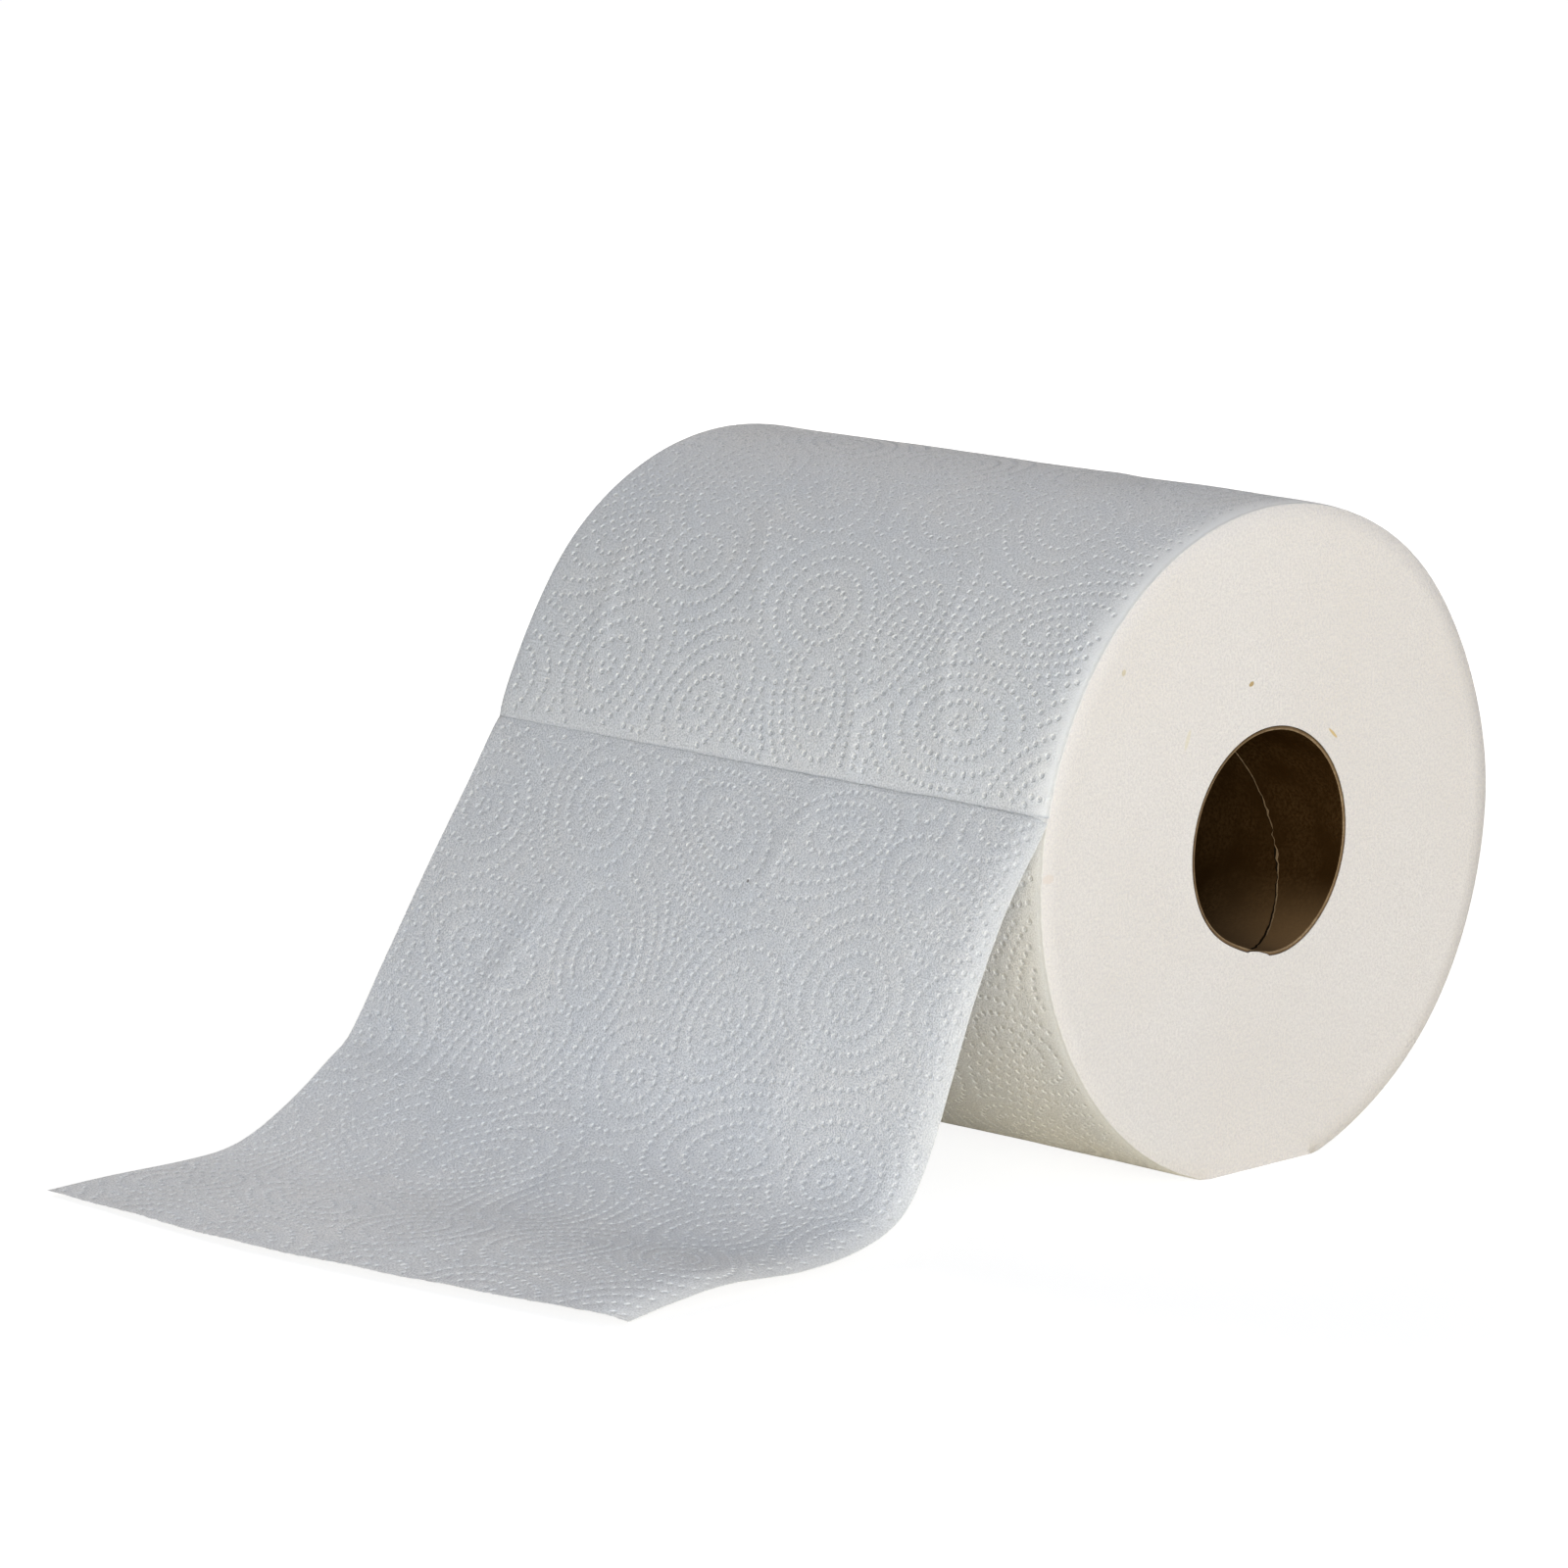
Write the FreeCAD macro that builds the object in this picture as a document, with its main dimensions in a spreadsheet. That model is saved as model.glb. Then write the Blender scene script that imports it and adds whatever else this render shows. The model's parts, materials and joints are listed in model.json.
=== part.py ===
"""A roll of perforated, embossed paper wipes, lying on its side with its last sheet run out on the floor.

The origin is the middle of the core's bore. +Y runs along the bore, +Z is up, and the loose sheet runs out
to -X. The roll is two pieces: a spiral-wound cardboard core, and one continuous web of paper.

The web's turns are wound tight on the core and are slightly flat where they rest. Its last sheet comes away
from the roll at a line of perforations, falls in a straight run, bends on to the floor and lies flat to its
torn end. It lies a little askew: its near edge, at -Y, falls more steeply and bends more sharply than its
far edge, at +Y. Both edges are one sheet long, so the far corner of the torn end reaches further out.
"""

import FreeCAD, Part
import math
import os
import Sketcher

# Driving dimensions, in millimetres and degrees.
SIZES = {
    "roll_radius": "90",
    "web_width": "197",
    "core_bore_radius": "30",
    "core_wall": "1.1",
    "winding_fit": "0",           # gap between the core and the first turn, which is glued down
    "flat_spot_depth": "3.5",     # how far the roll's own weight flattens it
    "sheet_thickness": "0.5",     # two embossed plies, not pressed
    "sheet_length": "210",        # from the line of perforations to the torn end
    "tear_line_angle": "11.8",    # of the line of perforations about the bore, above the horizontal
    "root_overlap": "4",          # how far the loose sheet's section runs back into the turns, to join them
    "near_fall_angle": "62.5",    # slope of the straight run, below the horizontal
    "far_fall_angle": "56",
    "near_bend_radius": "25",     # of the sheet's upper face
    "far_bend_radius": "55",
}

# Sizes that more than one section uses, worked out from the spreadsheet.
CORE_RADIUS = "(Sizes.core_bore_radius + Sizes.core_wall)"
FLOOR_DROP = "(Sizes.roll_radius - Sizes.flat_spot_depth)"
TEAR_LINE = "(Sizes.tear_line_angle * 1deg)"

START, END, CENTRE = 1, 2, 3
ORIGIN = (-1, 1)
STRAIGHT_DOWN = -math.pi / 2
LOFT_TOLERANCE = 0.05

doc = FreeCAD.newDocument("paper_wiper_roll")


# ---- Helpers ----

def fill_spreadsheet():
    spreadsheet = doc.addObject("Spreadsheet::Sheet", "Sizes")
    for row, (alias, value) in enumerate(SIZES.items(), start=1):
        spreadsheet.set(f"A{row}", alias)
        spreadsheet.set(f"B{row}", value)
        spreadsheet.setAlias(f"B{row}", alias)
    doc.recompute()


def now(expression):
    """What an expression on the spreadsheet comes to now: a sketch is drawn so, and then driven."""
    result = doc.Sizes.evalExpression(expression)
    return float(getattr(result, "Value", result))


def new_body(label):
    body = doc.addObject("PartDesign::Body", label)
    body.Label = label
    return body


def new_sketch(body, name, toward_near_end="0"):
    """A sketch square to the bore: its x is the model's X, and its y is the model's Z."""
    sketch = body.newObject("Sketcher::SketchObject", name)
    plane = next(feature for feature in body.Origin.OriginFeatures if feature.Role == "XZ_Plane")
    sketch.AttachmentSupport = (plane, [""])
    sketch.MapMode = "FlatFace"
    sketch.setExpression("AttachmentOffset.Base.z", toward_near_end)
    return sketch


def add_line(sketch, first, last):
    return sketch.addGeometry(Part.LineSegment(first, last))


def add_arc(sketch, centre, radius, first_angle, last_angle):
    circle = Part.Circle(centre, FreeCAD.Vector(0, 0, 1), radius)
    return sketch.addGeometry(Part.ArcOfCircle(circle, first_angle, last_angle))


def fix(sketch, kind, *places):
    sketch.addConstraint(Sketcher.Constraint(kind, *places))


def drive(sketch, name, kind, places, expression):
    """Adds a named dimension and ties it to the spreadsheet."""
    first_value = now(expression)
    if kind == "Angle":
        first_value = math.radians(first_value)
    index = sketch.addConstraint(Sketcher.Constraint(kind, *places, first_value))
    sketch.renameConstraint(index, name)
    sketch.setExpression(f"Constraints.{name}", expression)


def add_circle(sketch, name, radius):
    circle = sketch.addGeometry(Part.Circle(FreeCAD.Vector(), FreeCAD.Vector(0, 0, 1), now(radius)))
    fix(sketch, "Coincident", circle, CENTRE, *ORIGIN)
    drive(sketch, name, "Radius", (circle,), radius)


def pad_to_width(body, sketch, name):
    pad = body.newObject("PartDesign::Pad", name)
    pad.Profile = sketch
    pad.SideType = "Symmetric"
    pad.setExpression("Length", "Sizes.web_width")


# ---- The cardboard core ----

def make_core():
    body = new_body("cardboard_core")
    ring = new_sketch(body, "core_ring")
    add_circle(ring, "bore_radius", "Sizes.core_bore_radius")
    add_circle(ring, "outer_radius", CORE_RADIUS)
    pad_to_width(body, ring, "core_tube")
    return body


# ---- The paper web ----

def draw_turns(body):
    """The section of the wound turns: a circle with a flat spot below, and a hole that the core fills."""
    sketch = new_sketch(body, "turns_section")
    radius = now("Sizes.roll_radius")
    drop = now(FLOOR_DROP)
    half_angle = math.acos(drop / radius)
    half_width = radius * math.sin(half_angle)
    outer_turn = add_arc(sketch, FreeCAD.Vector(), radius,
                         STRAIGHT_DOWN + half_angle, STRAIGHT_DOWN - half_angle + 2 * math.pi)
    flat_spot = add_line(sketch, FreeCAD.Vector(-half_width, -drop), FreeCAD.Vector(half_width, -drop))

    fix(sketch, "Coincident", outer_turn, CENTRE, *ORIGIN)
    fix(sketch, "Coincident", outer_turn, END, flat_spot, START)
    fix(sketch, "Coincident", flat_spot, END, outer_turn, START)
    fix(sketch, "Horizontal", flat_spot)
    drive(sketch, "roll_radius", "Radius", (outer_turn,), "Sizes.roll_radius")
    drive(sketch, "floor_drop", "DistanceY", (flat_spot, START, *ORIGIN), FLOOR_DROP)
    add_circle(sketch, "first_turn", f"{CORE_RADIUS} + Sizes.winding_fit")
    return sketch


def draw_sheet_edge(body, side, toward_near_end):
    """The loose sheet's section at one edge: a thin strip with a straight fall, a bend and a flat run."""
    sketch = new_sketch(body, f"{side}_edge", toward_near_end)
    slope = f"(Sizes.{side}_fall_angle * 1deg)"
    bend = f"Sizes.{side}_bend_radius"
    height = f"({FLOOR_DROP} + Sizes.roll_radius * sin({TEAR_LINE}) - Sizes.sheet_thickness)"
    fall_length = f"({height} / sin({slope}) - {bend} * tan({slope} / 2))"
    bend_length = f"({bend} * Sizes.{side}_fall_angle * pi / 180)"
    run_length = f"Sizes.sheet_length - {fall_length} - {bend_length}"
    root_left = f"Sizes.roll_radius * cos({TEAR_LINE}) - Sizes.root_overlap * cos({slope})"
    root_above = f"Sizes.roll_radius * sin({TEAR_LINE}) + Sizes.root_overlap * sin({slope})"

    fall = math.radians(now(slope))
    inner = now(bend)
    outer = inner + now("Sizes.sheet_thickness")
    up_slope = FreeCAD.Vector(math.cos(fall), math.sin(fall))
    into_roll = FreeCAD.Vector(math.sin(fall), -math.cos(fall))
    down = FreeCAD.Vector(0, -1)
    root = FreeCAD.Vector(-now(root_left), now(root_above))
    centre = root - up_slope * now(f"Sizes.root_overlap + {fall_length}") - into_roll * inner
    to_end = FreeCAD.Vector(-now(run_length), 0)

    upper_run = add_line(sketch, centre + down * inner + to_end, centre + down * inner)
    upper_bend = add_arc(sketch, centre, inner, STRAIGHT_DOWN, STRAIGHT_DOWN + fall)
    upper_fall = add_line(sketch, centre + into_roll * inner, root)
    root_cut = add_line(sketch, root, root + into_roll * (outer - inner))
    lower_fall = add_line(sketch, root + into_roll * (outer - inner), centre + into_roll * outer)
    lower_bend = add_arc(sketch, centre, outer, STRAIGHT_DOWN, STRAIGHT_DOWN + fall)
    lower_run = add_line(sketch, centre + down * outer, centre + down * outer + to_end)
    torn_end = add_line(sketch, centre + down * outer + to_end, centre + down * inner + to_end)

    fix(sketch, "Tangent", upper_run, END, upper_bend, START)
    fix(sketch, "Tangent", upper_bend, END, upper_fall, START)
    fix(sketch, "Coincident", upper_fall, END, root_cut, START)
    fix(sketch, "Coincident", root_cut, END, lower_fall, START)
    fix(sketch, "Tangent", lower_fall, END, lower_bend, END)
    fix(sketch, "Tangent", lower_bend, START, lower_run, START)
    fix(sketch, "Coincident", lower_run, END, torn_end, START)
    fix(sketch, "Coincident", torn_end, END, upper_run, START)
    fix(sketch, "Coincident", lower_bend, CENTRE, upper_bend, CENTRE)
    fix(sketch, "Horizontal", upper_run)
    fix(sketch, "Horizontal", lower_run)
    fix(sketch, "Vertical", torn_end)
    fix(sketch, "Parallel", lower_fall, upper_fall)
    fix(sketch, "Perpendicular", root_cut, upper_fall)

    drive(sketch, "root_left", "DistanceX", (upper_fall, END, *ORIGIN), root_left)
    drive(sketch, "root_above", "DistanceY", (*ORIGIN, upper_fall, END), root_above)
    drive(sketch, "slope", "Angle", (upper_fall,), slope)
    drive(sketch, "bend_radius", "Radius", (upper_bend,), bend)
    drive(sketch, "run_length", "DistanceX", (upper_run, START, upper_run, END), run_length)
    drive(sketch, "thickness", "DistanceY", (torn_end, START, torn_end, END), "Sizes.sheet_thickness")
    drive(sketch, "floor_drop", "DistanceY", (lower_run, END, *ORIGIN), FLOOR_DROP)
    return sketch


def make_web():
    body = new_body("paper_web")
    pad_to_width(body, draw_turns(body), "wound_turns")
    doc.recompute()
    loose_sheet = body.newObject("PartDesign::AdditiveLoft", "loose_sheet")
    loose_sheet.Profile = draw_sheet_edge(body, "near", "Sizes.web_width / 2")
    loose_sheet.Sections = [draw_sheet_edge(body, "far", "-Sizes.web_width / 2")]
    loose_sheet.Ruled = True
    return body


# ---- Checking and writing the files ----

def check_document():
    for item in doc.Objects:
        if "Invalid" in item.State or "Error" in item.State:
            raise RuntimeError(f"{item.Name} failed: {item.State}")
        if item.TypeId == "Sketcher::SketchObject" and not item.FullyConstrained:
            raise RuntimeError(f"{item.Name} can still move")


def check_solid(body):
    shape = body.Shape
    if shape.isNull() or not shape.isValid() or len(shape.Solids) != 1:
        raise RuntimeError(f"{body.Label} is not one good solid")


def check_loose_sheet(web):
    """The loose sheet has to add its own length by its width by its thickness to the turns, or nearly."""
    added = web.Shape.Volume - doc.getObject("wound_turns").Shape.Volume
    expected = now("Sizes.sheet_length * Sizes.web_width * Sizes.sheet_thickness")
    print(f"the loose sheet adds {added:.0f} mm3, and its flat size gives {expected:.0f} mm3")
    if abs(added - expected) > LOFT_TOLERANCE * expected:
        raise RuntimeError("the loose sheet is not whole")


def export(body):
    body.Shape.exportStep(f"parts/{body.Label}.step")
    box = body.Shape.BoundBox
    extent = f"{box.XLength:.1f} x {box.YLength:.1f} x {box.ZLength:.1f} mm"
    print(f"{body.Label}: {body.Shape.Volume:.0f} mm3, {extent}")


fill_spreadsheet()
core = make_core()
web = make_web()
doc.recompute()
check_document()
check_loose_sheet(web)
os.makedirs("parts", exist_ok=True)
for piece in (core, web):
    check_solid(piece)
    export(piece)
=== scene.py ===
# %% [markdown]
# # A paper wiper roll
# A wiper roll is one long web of soft tissue, wound on a spiral tube of brown board and cut to
# width with a saw. This one lies on its side, and its first sheet has been pulled off the top:
# it hangs down the front and its end lies on the table. Three pieces show: the wound turns, the
# loose sheet and the tube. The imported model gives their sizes, and everything here is in metres.

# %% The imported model, kept as a fixed frame
import json
import math
import random
from bisect import bisect_right
from itertools import accumulate

import bmesh
import bpy
from mathutils import Matrix, Vector, noise
from mathutils.geometry import delaunay_2d_cdt, interpolate_bezier


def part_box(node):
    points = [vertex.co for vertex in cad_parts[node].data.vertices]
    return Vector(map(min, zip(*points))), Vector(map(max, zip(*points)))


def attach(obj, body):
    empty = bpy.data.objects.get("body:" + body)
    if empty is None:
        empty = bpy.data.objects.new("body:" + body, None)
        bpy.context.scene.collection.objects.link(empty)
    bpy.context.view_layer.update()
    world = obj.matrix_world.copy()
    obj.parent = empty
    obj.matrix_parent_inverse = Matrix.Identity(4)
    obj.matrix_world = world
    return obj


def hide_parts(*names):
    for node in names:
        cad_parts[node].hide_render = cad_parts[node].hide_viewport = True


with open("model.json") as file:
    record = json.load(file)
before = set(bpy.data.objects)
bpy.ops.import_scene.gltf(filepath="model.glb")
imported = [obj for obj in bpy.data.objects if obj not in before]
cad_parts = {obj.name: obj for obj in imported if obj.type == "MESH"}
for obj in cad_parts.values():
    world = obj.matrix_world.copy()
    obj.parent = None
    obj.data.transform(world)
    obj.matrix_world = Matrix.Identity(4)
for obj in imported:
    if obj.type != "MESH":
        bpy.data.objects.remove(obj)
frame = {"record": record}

bpy.context.view_layer.update()

# %% Sizes, read from the frame
MM = 0.001
web_low, web_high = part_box("paper_web")
_, core_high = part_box("cardboard_core")
mounts = {mount["name"]: mount for mount in frame["record"]["mounts"]}

ROLL_R = web_high.x
HALF_WIDTH = web_high.y
FLOOR_Z = web_low.z
CORE_R = core_high.z
BORE_R = mounts["core_bore"]["dims"]["r_mm"] * MM
TURN_LENGTH = 2 * math.pi * ROLL_R
CLOSE = 0.1 * MM  # near enough to count as on a line
print("roll radius", round(ROLL_R, 4), "half width", round(HALF_WIDTH, 4), "bore", BORE_R)

# %% [markdown]
# ## The camera
# The roll is seen from its front left corner, a little above the table, through a long lens, so
# the far end looks almost as large as the near one. A camera could be aimed with a constraint,
# but it is clearer to build its three axes here: first the direction it stands in, then a small
# turn that puts the roll to the right of the middle, then the slight roll of a hand-set tripod.

# %% The camera's place and aim
STAND_AZIMUTH = math.radians(-48.0)
STAND_ELEVATION = math.radians(10.76)
STAND_DISTANCE = 2.012
TURN_ASIDE = math.radians(1.615)
TURN_DOWN = math.radians(0.04)
TIP = math.radians(0.61)
LENS = 171.0


def direction(azimuth, elevation):
    """The unit vector towards a place round the object: azimuth 0 is the -Y side, 90 is +X."""
    flat = math.cos(elevation)
    return Vector((math.sin(azimuth) * flat, -math.cos(azimuth) * flat, math.sin(elevation)))


backward = direction(STAND_AZIMUTH + TURN_ASIDE, STAND_ELEVATION - TURN_DOWN)
level = Vector((math.cos(STAND_AZIMUTH + TURN_ASIDE), math.sin(STAND_AZIMUTH + TURN_ASIDE), 0))
upward = backward.cross(level)
side = level * math.cos(TIP) + upward * math.sin(TIP)
upward = upward * math.cos(TIP) - level * math.sin(TIP)

camera = bpy.data.objects.new("camera", bpy.data.cameras.new("camera"))
camera.data.lens = LENS
camera.data.clip_end = 100
stand = Matrix.Translation(direction(STAND_AZIMUTH, STAND_ELEVATION) * STAND_DISTANCE)
camera.matrix_world = stand @ Matrix((side, upward, backward)).transposed().to_4x4()
bpy.context.scene.collection.objects.link(camera)
bpy.context.scene.camera = camera
print("camera at", [round(c, 3) for c in camera.matrix_world.translation])

# %% [markdown]
# ## How the web runs
# All the tissue is one strip, so it helps to name its points the way a converter would: `u` is
# the distance along the strip from the tear line and `v` the place across it. A positive `u`
# goes back over the top of the roll and round to just under the tear line, and a negative `u`
# goes down the loose sheet. Wherever the strip goes in space, what is pressed into it stays put
# in `u` and `v`, so the dots, the soft wrinkles and the torn line carry on from roll to sheet.

# %% Two ways to fade
def bell(away, reach):
    """1 at no distance, falling smoothly on both sides to nearly nothing at twice the reach."""
    return math.exp(-((away / reach) ** 2))


def rise(away, reach):
    """0 at no distance, rising straight to 1 at the reach, and 1 from there on."""
    return min(1.0, max(0.0, away / reach))


print("half way to its reach a bell is", round(bell(1, 2), 2), "and a rise", rise(1, 2))

# %% The strip's own sizes
TEAR_ANGLE = math.radians(168.2)
SHEET_LENGTH = 210 * MM
SHEET_THICKNESS = 0.38 * MM
BULGES = (  # angle and reach in degrees, height in mm
    (50, 18, 1.0),
    (4, 14, 0.7),
    (-62, 18, -0.7),
)
seed = random.Random(4)


def turn_angle(u):
    """The angle round the roll at a distance along the web. It runs back over the top."""
    return TEAR_ANGLE - u / ROLL_R


def turn_radius(u):
    """A wound web is a spiral: one whole turn drops by one thickness, and it isn't quite round."""
    radius = ROLL_R - SHEET_THICKNESS * u / TURN_LENGTH
    for angle, reach, height in BULGES:
        radius += height * MM * bell(math.degrees(turn_angle(u)) - angle, reach)
    return radius


print("one turn is", round(TURN_LENGTH / MM), "mm of web")

# %% [markdown]
# ## The pressed dots
# The web was pressed between steel rolls that carry small pins, set along nested rings. Each
# family of rings has its own centre and is a little oval, and where two families meet their
# rings stop. A texture could fake this, but the dots are what the eye rests on, so they become
# real geometry. These cells only lay them out flat: scatter the centres in staggered rows, walk
# round each ring in even steps, and keep a dot if its own centre is the nearest one.

# %% Ring centres in staggered rows
CENTRE_GAP_U = 37 * MM
CENTRE_GAP_V = 41 * MM
CENTRE_JITTER = 8 * MM
OVALNESS = 0.45
HEAD_START = 6 * MM


def ring_centres(u_low, u_high, v_reach):
    """(u, v, stretch, tilt, head start) of each family of rings, with a margin round the web."""
    found = []
    rows = round((u_high - u_low) / CENTRE_GAP_U) + 2
    columns = round(2 * v_reach / CENTRE_GAP_V) + 2
    for row in range(-1, rows):
        for column in range(-1, columns):
            shift = 0.5 if row % 2 else 0.0
            u = u_low + row * CENTRE_GAP_U + seed.uniform(-1, 1) * CENTRE_JITTER
            v = -v_reach + (column + shift) * CENTRE_GAP_V + seed.uniform(-1, 1) * CENTRE_JITTER
            stretch = 1.0 + OVALNESS * seed.random() ** 1.5
            found.append((u, v, stretch, seed.uniform(0, math.pi), seed.uniform(0, HEAD_START)))
    return found


centres = ring_centres(-SHEET_LENGTH, TURN_LENGTH, HALF_WIDTH)
print(len(centres), "families of rings")

# %% Lines measured along their length
def distances(line):
    """How far along a line each of its points is."""
    lengths = [(there - here).length for here, there in zip(line, line[1:])]
    return list(accumulate(lengths, initial=0.0))


def at_run(line, runs, run):
    """The point at a distance along a line, which runs on straight past both of its ends."""
    place = min(max(bisect_right(runs, run) - 1, 0), len(runs) - 2)
    share = (run - runs[place]) / (runs[place + 1] - runs[place])
    return line[place].lerp(line[place + 1], share)


# %% One oval ring
ARC_SAMPLES = 90
FEWEST_DOTS = 3


def ring_distance(centre, u, v):
    """How far out a point is in that family: the short way across a ring counts for more."""
    u0, v0, stretch, tilt, _ = centre
    along = (u - u0) * math.cos(tilt) + (v - v0) * math.sin(tilt)
    across = (v - v0) * math.cos(tilt) - (u - u0) * math.sin(tilt)
    return math.hypot(along / stretch, across * stretch)


def ring_walk(centre, reach, gap):
    """Points along one oval ring, a gap apart measured along its line."""
    u0, v0, stretch, tilt, _ = centre
    outline = []
    for step in range(ARC_SAMPLES + 1):
        turn = 2 * math.pi * step / ARC_SAMPLES
        along = reach * stretch * math.cos(turn)
        across = reach / stretch * math.sin(turn)
        u = u0 + along * math.cos(tilt) - across * math.sin(tilt)
        v = v0 + along * math.sin(tilt) + across * math.cos(tilt)
        outline.append(Vector((u, v)))
    runs = distances(outline)
    count = max(FEWEST_DOTS, round(runs[-1] / gap))
    offset = seed.random()
    for number in range(count):
        yield at_run(outline, runs, runs[-1] * (number + offset) / count)


# %% Room between the dots
BIN_SIZE = 3 * MM


class Spacing:
    """Remembers points in square bins, so that a new one can be turned down if it is too near."""

    def __init__(self):
        self.bins = {}

    def near(self, u, v, gap):
        """True if a point in the same bin, or in one beside it, is less than a gap away."""
        column, row = int(u // BIN_SIZE), int(v // BIN_SIZE)
        around = [(column + i, row + j) for i in (-1, 0, 1) for j in (-1, 0, 1)]
        others = [other for key in around for other in self.bins.get(key, ())]
        return any(math.hypot(u - other_u, v - other_v) < gap for other_u, other_v in others)

    def add(self, u, v):
        key = int(u // BIN_SIZE), int(v // BIN_SIZE)
        self.bins.setdefault(key, []).append((u, v))


# %% Dots along the rings
FIRST_RING = 2.2 * MM
RING_GAP = 4.8 * MM
RINGS = 10
DOT_GAP = 2.8 * MM
DOT_CLEAR = 2.15 * MM
LONE_CLEAR = 3.1 * MM
RIVAL_REACH = 2.2 * CENTRE_GAP_V
WANDER = 3.0 * MM
WANDER_REACH = 38 * MM


def own_side(centre, u, v, rivals):
    """True where this family is the nearest, counting the head start that makes some larger."""
    mine = ring_distance(centre, u, v) - centre[-1]
    return all(ring_distance(rival, u, v) - rival[-1] > mine for rival in rivals)


def wandered(u, v):
    """Moves a point a little, by two layers of noise, so that no ring is a perfect oval."""
    layer = Vector((u / WANDER_REACH, v / WANDER_REACH, 6.1))
    other_layer = layer + Vector((0, 0, 9))
    return u + WANDER * noise.noise(layer), v + WANDER * noise.noise(other_layer)


def on_strip(u, v, margin):
    """True on the web itself, or no further than a margin off it."""
    return abs(v) < HALF_WIDTH + margin and -SHEET_LENGTH - margin < u < TURN_LENGTH + margin


def lay_dots():
    """Dots on every family's rings, inside its own cell, and single ones where a gap is left."""
    taken = Spacing()
    kept = []
    for centre in centres:
        others = [other for other in centres if other is not centre]
        rivals = [other for other in others if math.dist(other[:2], centre[:2]) < RIVAL_REACH]
        for ring in range(RINGS):
            for u, v in ring_walk(centre, FIRST_RING + ring * RING_GAP, DOT_GAP):
                if not on_strip(u, v, WANDER) or taken.near(u, v, DOT_CLEAR):
                    continue
                if own_side(centre, u, v, rivals):
                    taken.add(u, v)
                    kept.append((u, v))
    for row in range(round((SHEET_LENGTH + TURN_LENGTH) / DOT_GAP)):
        for column in range(round(2 * HALF_WIDTH / DOT_GAP)):
            u = (row + seed.random()) * DOT_GAP - SHEET_LENGTH
            v = (column + seed.random()) * DOT_GAP - HALF_WIDTH
            if not taken.near(u, v, LONE_CLEAR):
                taken.add(u, v)
                kept.append((u, v))
    return [wandered(u, v) for u, v in kept]


dots = lay_dots()
print(len(dots), "dots")

# %% [markdown]
# ## Soft wrinkles
# Tissue never lies quite flat. A few long soft creases run along the web, where it was pulled
# off the roll, over a broad unevenness that is there in every turn. Both are heights over `u`
# and `v`, so they are plain functions, and every point of the strip asks them how far it stands
# proud of the smooth path.

# %% Heights over the strip
SOFT_CREASES = (  # start u, start v, end u, end v, half width, height, all in mm
    (74, 39, 40, 18, 2.6, 0.85),
    (52, 77, 16, 69, 3.0, 0.85),
    (52, -43, 10, -61, 2.6, 0.80),
    (30, -23, 0, -31, 2.6, 0.70),
    (-8, -23, -30, -18, 2.6, 0.45),
    (-46, 52, -84, 61, 4.5, 0.50),
    (-60, -50, -100, -44, 5.0, 0.40),
    (-118, 8, -150, 2, 4.5, -0.45),
    (130, -30, 180, -22, 4.0, 0.40),
    (330, 40, 380, 52, 4.0, 0.40),
)
CREASE_TAIL = 0.4
BROAD_HEIGHT = 0.45 * MM
BROAD_ALONG = 70 * MM
BROAD_ACROSS = 24 * MM


def crease_height(u, v, crease):
    """A soft ridge along a line, which fades out in a tail beyond each end."""
    start_u, start_v, end_u, end_v, half_width, height = crease
    start = Vector((start_u, start_v)) * MM
    line = Vector((end_u, end_v)) * MM - start
    point = Vector((u, v)) - start
    share = point.dot(line) / line.length_squared
    if not -CREASE_TAIL < share < 1 + CREASE_TAIL:
        return 0.0
    fade = math.cos(math.pi * (share - 0.5) / (1 + 2 * CREASE_TAIL)) ** 2
    return height * MM * fade * bell((point - line * share).length, half_width * MM)


def relief(u, v):
    """The height of the strip's wrinkles and unevenness."""
    broad = BROAD_HEIGHT * noise.noise(Vector((u / BROAD_ALONG, v / BROAD_ACROSS, 3.7)))
    return broad + sum(crease_height(u, v, crease) for crease in SOFT_CREASES)


print("relief at the middle of the sheet", round(relief(-SHEET_LENGTH / 2, 0) / MM, 3), "mm")

# %% [markdown]
# ## The path of the web
# On the roll the path is a cylinder with a small flat spot, where the soft roll rests. The saw
# leaves the roll's rims rounded; the whiter strip along the near rim is a painted highlight, in
# the paints further down. The loose sheet is led by its two cut edges: each is a smooth line
# through a few points, and the sheet is stretched straight between them. The near edge bows out
# and bends sharply where it meets the table, while the far one comes down straight, folds
# slightly and runs further out. That twist is what makes it look like paper.

# %% The two cut edges of the loose sheet
tear_point = (ROLL_R * math.cos(TEAR_ANGLE) / MM, ROLL_R * math.sin(TEAR_ANGLE) / MM)
NEAR_EDGE = (
    tear_point, (-92.6, 10.6), (-103.9, -5.3), (-114.4, -25.6), (-122.6, -45.6), (-131.0, -64.5),
    (-140.1, -76.2), (-154.4, -81.6), (-175.5, -83.6), (-203.4, -82.2), (-224.0, -83.8),
    (-236.0, -85.4),
)
FAR_EDGE = (
    tear_point, (-98.2, 5.6), (-112.1, -13.6), (-131.9, -42.8), (-144.8, -61.2), (-151.5, -65.9),
    (-165.2, -74.8), (-181.0, -82.4), (-194.0, -85.0), (-231.8, -85.2), (-248.6, -85.5),
)
EDGE_SAMPLES = 24


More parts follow.
